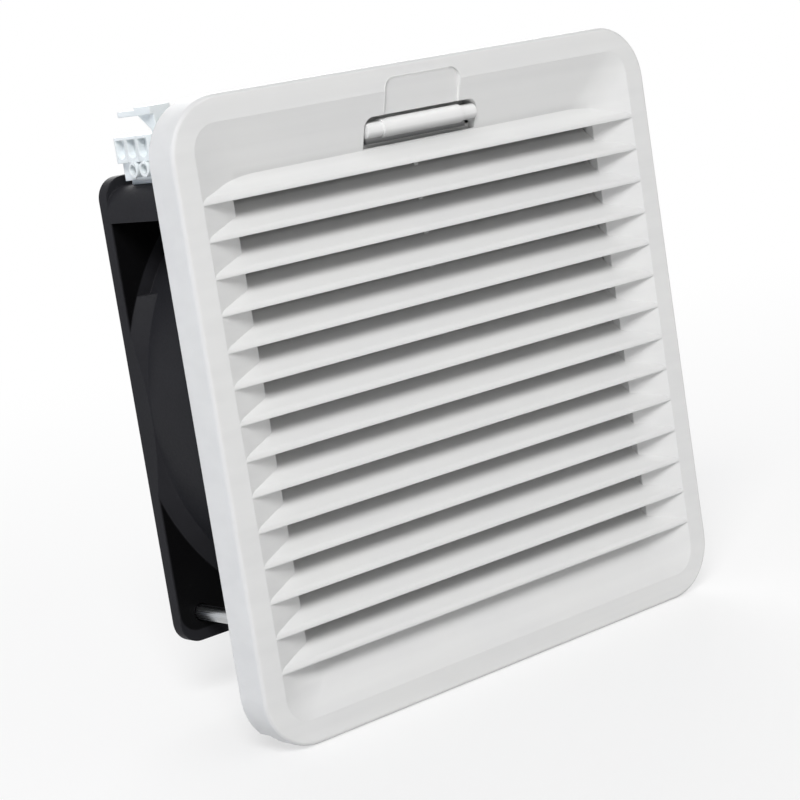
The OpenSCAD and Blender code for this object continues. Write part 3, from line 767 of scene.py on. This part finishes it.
def makeImpeller(sizes, finish):
    shell = bpy.data.objects.new("hubStart", hubMesh(hubShape, sizes))
    tip = sizes["Tip radius"] - bladeShape["tipGap"]
    blade = bpy.data.objects.new("bladeStart", bladeMesh(bladeShape, tip))
    for part in (shell, blade):
        scene.collection.objects.link(part)
    inputs = {"Blades": sizes["Blades"]}
    g, given = growTree("bladesRound", inputs)
    turn = g.vector(Y=g.index() * fullTurn / given["Blades"])
    ring = g.copies(g.spots(given["Blades"]), g.shapeOf(blade), Rotation=turn)
    piece = growPiece("fanImpeller", g, g.joined(ring, g.shapeOf(shell)), inputs, finish)
    for part in (shell, blade):
        bpy.data.objects.remove(part)
    smoothPiece(piece, 40)
    settle(piece, "rotor", "impeller")


makeImpeller(impellerSizes, finishes["impeller"])
print("impeller made")

# rear guard: wire rings on four legs that end in eyelets
guardSizes = {"Rings": 5, "Inner radius": 0.016, "Ring step": 0.0095, "Wire radius": 0.00088,
              "Ring level": 0.0512, "Legs": 4}
guardShape = {"start": 0.014, "screw": 0.0525 * math.sqrt(2), "level": 0.0497, "legSteps": 6, "eyeRun": 0.009,
              "eye": 0.00315, "eyeLevel": 0.0494, "eyeFrom": -150, "eyeOver": 330, "eyeSteps": 24,
              "ringSides": 96, "wireSides": 12}


def legCurve(leg):
    run = leg["screw"] - leg["eyeRun"] - leg["start"]
    path = []
    for k in range(leg["legSteps"] + 1):
        path.append((leg["start"] + run * k / leg["legSteps"], leg["level"], 0.0))
    for k in range(leg["eyeSteps"] + 1):
        a = math.radians(leg["eyeFrom"] + leg["eyeOver"] * k / leg["eyeSteps"])
        x, z = leg["screw"] + leg["eye"] * math.cos(a), leg["eye"] * math.sin(a)
        path.append((x, leg["eyeLevel"], z))
    data = bpy.data.curves.new("legStart", "CURVE")
    data.dimensions = "3D"
    spline = data.splines.new("POLY")
    spline.points.add(len(path) - 1)
    for spot, place in zip(spline.points, path):
        spot.co = (*place, 1.0)
    return bpy.data.objects.new("legStart", data)


def makeGuard(sizes, shape, finish):
    start = legCurve(shape)
    scene.collection.objects.link(start)
    g, given = growTree("guardRings", sizes)
    size = given["Inner radius"] + g.index() * given["Ring step"]
    grown = g.vector(X=size, Y=size, Z=1.0)
    hoops = g.copies(g.spots(given["Rings"]), g.circle(shape["ringSides"], 1.0), Scale=grown)
    hoops = g.moved(hoops, Translation=g.vector(Y=given["Ring level"]), Rotation=upright)
    turn = g.vector(Y=g.index() * fullTurn / given["Legs"] + math.pi / 4)
    legs = g.copies(g.spots(given["Legs"]), g.shapeOf(start), Rotation=turn)
    lines = g.real(g.joined(legs, hoops))
    tube = g.swept(lines, g.circle(shape["wireSides"], given["Wire radius"]), True)
    piece = growPiece("wireGuard", g, tube, sizes, finish)
    bpy.data.objects.remove(start)
    smoothPiece(piece, 50)
    settle(piece, "base", "finger_guard")


makeGuard(guardSizes, guardShape, finishes["finger_guard"])
print("guard made")

# long fan screws: pan head with a cross, thread near the tip
screwSizes = {"Hole offset": 0.0525, "Screws": 4}
screwShape = {"seat": 0.0503, "tip": 0.0066, "radius": 0.00193, "core": 0.0016, "pitch": 0.0007,
              "thread": 0.016, "head": 0.00358, "headDepth": 0.00238, "flat": 0.45, "dip": 0.00004,
              "crown": 0.0011, "rim": 0.0002, "cross": 0.0021, "crossWidth": 0.0009, "crossDepth": 0.0013,
              "crossSlim": 0.62, "sides": 24, "rowsPerTurn": 6, "runOut": 12, "point": 0.35}
screwSpin = {"each": 1.9, "first": 0.4}  # radians, so that the crosses don't line up


def screwHead(s):  # profile of head and plain shank
    top = s["seat"] + s["headDepth"]
    profile = [(0, top), (s["head"] * s["flat"], top - s["dip"])]
    for k in range(1, 9):
        a = math.pi / 2 * k / 8
        reach = s["flat"] + (1 - s["flat"]) * math.sin(a)
        profile.append((s["head"] * reach, top - s["dip"] - s["crown"] * (1 - math.cos(a))))
    profile += [(s["head"], s["seat"] + s["rim"]), (s["head"] - s["rim"], s["seat"])]
    return profile + [(s["radius"], s["seat"]), (s["radius"], s["tip"] + s["thread"])]


def screwBody(s):
    def build(work):
        side = s["sides"]
        lathe(work, screwHead(s), side)
        rows = int(s["thread"] / s["pitch"] * s["rowsPerTurn"])
        last = None
        for k in range(rows + 1):
            y = s["tip"] + s["thread"] * (1 - k / rows)
            fade = min(1.0, k / s["runOut"], (rows - k) / s["rowsPerTurn"] + s["point"])
            ring = []
            for i in range(side):
                phase = (y / s["pitch"] + i / side) % 1.0
                crest = abs(phase * 2 - 1)
                r = s["core"] + (s["radius"] - s["core"]) * (1 - fade * (1 - crest))
                a = 2 * math.pi * i / side
                ring.append(work.verts.new((r * math.cos(a), y, r * math.sin(a))))
            if last:
                for i in range(side):
                    j = (i + 1) % side
                    work.faces.new((last[i], last[j], ring[j], ring[i]))
            last = ring
        work.faces.new(last)
    return build


def crossBar(s, turn):  # one tapered bar of the driver's cross
    def build(work):
        made = bmesh.ops.create_cube(work, size=1.0)["verts"]
        for v in made:
            slim = s["crossSlim"] if v.co.y < 0 else 1.0
            x, z = v.co.x * s["cross"] * 2 * slim, v.co.z * s["crossWidth"] * slim
            v.co = Vector((x, v.co.y * s["crossDepth"] * 2, z))
        bmesh.ops.rotate(work, verts=made, cent=(0, 0, 0), matrix=Matrix.Rotation(turn, 3, "Y"))
        bmesh.ops.translate(work, verts=made, vec=(0, s["seat"] + s["headDepth"], 0))
    return build


def makeScrew(s, finish):
    screw = bpy.data.objects.new("screwStart", meshFrom("screwStart", screwBody(s), finish))
    scene.collection.objects.link(screw)
    bars = []
    for turn in (0, math.pi / 2):
        tool = bpy.data.objects.new("crossStart", meshFrom("crossStart", crossBar(s, turn)))
        scene.collection.objects.link(tool)
        bars.append(tool)
        cut = screw.modifiers.new("cross", "BOOLEAN")
        cut.operation, cut.solver, cut.object = "DIFFERENCE", "EXACT", tool
    plain = plainMesh(screw)
    for tool in bars:
        bpy.data.objects.remove(tool)
    screw.modifiers.clear()
    screw.data = plain
    return screw


def makeScrews(sizes, shape, spin, finish):
    start = makeScrew(shape, finish)
    g, given = growTree("screwCorners", sizes)
    angle = g.index() * (math.pi / 2) + math.pi / 4
    reach = given["Hole offset"] * math.sqrt(2)
    place = g.vector(X=g.wave("COSINE", angle) * reach, Z=g.wave("SINE", angle) * reach)
    sockets = {"Geometry": g.spots(given["Screws"]), "Position": place}
    corners = g.node("GeometryNodeSetPosition", {}, sockets)["Geometry"]
    turn = g.vector(Y=g.index() * spin["each"] + spin["first"])
    four = g.copies(corners, g.shapeOf(start), Rotation=turn)
    piece = growPiece("fanScrews", g, four, sizes, finish)
    bpy.data.objects.remove(start)
    smoothPiece(piece, 38)
    settle(piece, "base", "fan_screws")


makeScrews(screwSizes, screwShape, screwSpin, finishes["fan_screws"])
print("screws made")

# preload spring: a few turns of fine wire
springSizes = {"Turns": 3.0, "Radius": 0.00268, "Height": 0.00148, "Wire radius": 0.0002}
springSteps = {"turn": 28, "wire": 8}


def makeSpring(sizes, steps, finish):
    low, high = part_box("preload_spring")
    g, given = growTree("springCoil", sizes)
    sockets = {"Resolution": steps["turn"], "Rotations": given["Turns"], "Start Radius": given["Radius"],
               "End Radius": given["Radius"], "Height": given["Height"]}
    coil = g.node("GeometryNodeCurveSpiral", {}, sockets)["Curve"]
    tube = g.swept(coil, g.circle(steps["wire"], given["Wire radius"]), True)
    place = (0, (low.y + high.y) / 2 + sizes["Height"] / 2, 0)
    tube = g.moved(tube, Rotation=upright, Translation=place)
    piece = growPiece("preloadCoil", g, tube, sizes, finish)
    smoothPiece(piece, 60)
    settle(piece, "rotor", "preload_spring")


makeSpring(springSizes, springSteps, finishes["preload_spring"])
print("spring made")

# foam ring between flange and panel
gasketSizes = {"Side": 0.1354, "Corner": 0.0062, "Width": 0.0053, "Thickness": 0.00118,
               "Round": 0.0004, "Ripple": 0.00005}
gasketSteps = {"corner": 10, "round": 4, "track": 320, "ripple": 160.0}


def makeGasket(sizes, steps, finish):
    low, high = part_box("panel_gasket")
    g, given = growTree("gasketRing", sizes)
    track = g.frameCurve(given["Side"], given["Side"], given["Corner"], steps["corner"])
    track = g.node("GeometryNodeResampleCurve", {}, {"Curve": track, "Count": steps["track"]})["Curve"]
    band = g.frameCurve(given["Thickness"], given["Width"], given["Round"], steps["round"])
    strip = g.swept(track, band, False)
    strip = g.moved(strip, Rotation=upright, Translation=(0, (low.y + high.y) / 2, 0))
    ripple = g.node("ShaderNodeTexNoise", {}, {"Scale": steps["ripple"], "Detail": 2.0})["Fac"]
    push = (ripple - 0.5) * given["Ripple"]
    sockets = {"Geometry": strip, "Offset": g.vector(X=push, Z=push)}
    strip = g.node("GeometryNodeSetPosition", {}, sockets)["Geometry"]
    piece = growPiece("foamGasket", g, strip, sizes, finish)
    smoothPiece(piece, 60)
    settle(piece, "base", "panel_gasket")


makeGasket(gasketSizes, gasketSteps, finishes["panel_gasket"])
print("gasket made")

# filter mat: soft slab with pulled-in cut edges, loose fibres on both faces
matShape = {"cells": 84, "edge": 0.0022, "wave": 0.00022, "inset": 0.0003, "sideGap": 0.0002,
            "crowd": 0.35,  # how far the grid crowds to the edges
            "pull": 0.004, "pullPower": 6, "calmEdge": 0.001, "calm": 0.4,
            "lumps": ((70, 3.1, 1.0), (260, 7.7, 0.5))}  # scale, place, share
fibreSizes = {"Density": 95000.0, "Length": 0.0075, "Lift": 0.0003, "Fibre radius": 0.000028, "Seed": 4}
fibreShape = {"bend": 0.35, "steps": 4, "sides": 3, "sizes": (0.5, 1.25), "sizeSeed": 9}


def matPoint(m, side, i, j, wide, middle, half):
    n = m["cells"]
    x, z = [wide * math.sin(math.pi / 2 * (2 * k / n - 1)) * m["crowd"]
            + wide * (2 * k / n - 1) * (1 - m["crowd"]) for k in (i, j)]
    gap = min(wide - abs(x), wide - abs(z))
    rise = 1.0
    if gap < m["edge"]:
        rise = 0.5 + 0.5 * math.sqrt(max(0.0, 1 - (1 - gap / m["edge"]) ** 2))
    lump = 0.0
    for scale, place, share in m["lumps"]:
        lump += share * noise.noise(Vector((x * scale, z * scale, side * place)))
    still = 1 if gap > m["calmEdge"] else m["calm"]
    y = middle + side * (half * rise - m["wave"] * (0.75 - 0.5 * lump) * still)
    farX, farZ = abs(x) / wide, abs(z) / wide
    pull = 1 - m["pull"] * ((1 - farX) * farZ ** m["pullPower"] + (1 - farZ) * farX ** m["pullPower"])
    return (x * pull, y, z * pull)


def matMesh(m, low, high):
    middle, half = (low.y + high.y) / 2, (high.y - low.y) / 2 - m["inset"]
    wide = high.x - m["sideGap"]

    def build(work):
        n = m["cells"]
        sheets = []
        for side in (-1, 1):
            rows = []
            for i in range(n + 1):
                row = [work.verts.new(matPoint(m, side, i, j, wide, middle, half)) for j in range(n + 1)]
                rows.append(row)
            sheets.append(rows)
            for i in range(n):
                for j in range(n):
                    work.faces.new((rows[i][j], rows[i + 1][j], rows[i + 1][j + 1], rows[i][j + 1]))
        rim = [(i, 0) for i in range(n)] + [(n, j) for j in range(n)]
        rim += [(i, n) for i in range(n, 0, -1)] + [(0, j) for j in range(n, 0, -1)]
        for (a, b), (c, d) in zip(rim, rim[1:] + rim[:1]):
            work.faces.new((sheets[0][a][b], sheets[0][c][d], sheets[1][c][d], sheets[1][a][b]))
    return meshFrom("filterMat", build)


def makeMat(m, sizes, shape, finish):
    low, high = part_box("filter_mat")
    pad = matMesh(m, low, high)
    pad.materials.append(finish)
    g, given = growTree("fleeceFibres", sizes)
    sockets = {"Mesh": given["Geometry"], "Density": given["Density"], "Seed": given["Seed"]}
    spread = g.node("GeometryNodeDistributePointsOnFaces", {}, sockets)
    ends = [g.vector(X=given["Length"] * side) for side in (-0.5, 0.5)]
    sockets = {"Resolution": shape["steps"], "Start": ends[0], "End": ends[1],
               "Middle": g.vector(Y=given["Length"] * shape["bend"], Z=given["Lift"])}
    strand = g.node("GeometryNodeCurveQuadraticBezier", {}, sockets)["Curve"]
    sockets = {"Vector": spread["Normal"]}
    stand = g.node("FunctionNodeAlignRotationToVector", {"axis": "Z"}, sockets)["Rotation"]
    sockets = {2: 0.0, 3: fullTurn, "Seed": given["Seed"]}
    spin = g.node("FunctionNodeRandomValue", {"data_type": "FLOAT"}, sockets)[1]
    sockets = {"Rotation": stand, "Rotate By": g.vector(Z=spin)}
    turn = g.node("FunctionNodeRotateRotation", {"rotation_space": "LOCAL"}, sockets)["Rotation"]
    sockets = {2: shape["sizes"][0], 3: shape["sizes"][1], "Seed": shape["sizeSeed"]}
    size = g.node("FunctionNodeRandomValue", {"data_type": "FLOAT"}, sockets)[1]
    many = g.real(g.copies(spread["Points"], strand, Rotation=turn, Scale=size))
    fuzz = g.swept(many, g.circle(shape["sides"], given["Fibre radius"]), False)
    piece = growPiece("fleeceMat", g, g.joined(fuzz, given["Geometry"]), sizes, finish, pad)
    smoothPiece(piece, 70)
    settle(piece, "base", "filter_mat")
    print("mat triangles:", sum(len(p.vertices) - 2 for p in piece.data.polygons))


makeMat(matShape, fibreSizes, fibreShape, finishes["filter_mat"])
print("mat made")
